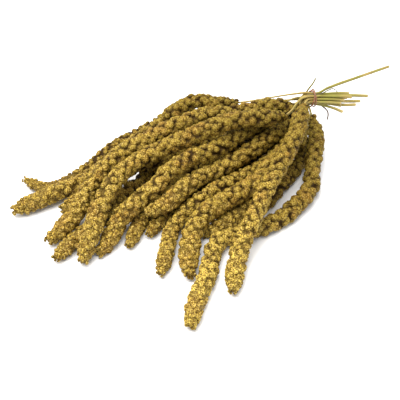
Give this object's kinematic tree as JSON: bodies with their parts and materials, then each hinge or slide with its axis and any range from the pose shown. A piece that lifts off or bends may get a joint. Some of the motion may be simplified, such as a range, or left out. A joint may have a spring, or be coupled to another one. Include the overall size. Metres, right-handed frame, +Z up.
{
  "type": "tied bunch of millet seed heads",
  "caption": "Bunch of dried foxtail millet sprays lying on a surface, knobbly seed heads fanned out from thin stalks held by a rubber band.",
  "frame": {"origin": "centre of the bunch's bounding box, on the surface that it lies on", "axes": "+X along the bunch towards the cut ends of the stalks, +Z up"},
  "size_m": [0.522, 0.3002, 0.0846],
  "materials": {
    "seed": "matt dried seed",
    "straw": "satin dry straw",
    "dry_stem": "matt dry leaf sheath",
    "rubber": "satin"
  },
  "bodies": {
    "root": {"head_01": "seed", "head_02": "seed", "head_03": "seed", "head_04": "seed", "head_05": "seed", "head_06": "seed", "head_07": "seed", "head_08": "seed", "head_09": "seed", "head_10": "seed", "head_11": "seed", "head_12": "seed", "head_13": "seed", "head_14": "seed", "head_15": "seed", "head_16": "seed", "stalk_01": "straw", "stalk_02": "straw", "stalk_03": "straw", "stalk_04": "straw", "stalk_05": "straw", "stalk_06": "straw", "stalk_07": "straw", "stalk_08": "straw", "stalk_09": "straw", "stalk_10": "straw", "stalk_11": "straw", "stalk_12": "straw", "stalk_13": "straw", "stalk_14": "straw", "stalk_15": "straw", "stalk_16": "straw", "dry_curl": "dry_stem", "dry_sprig": "dry_stem", "dry_wisp": "dry_stem", "rubber_band": "rubber"}
  },
  "joints": []
}
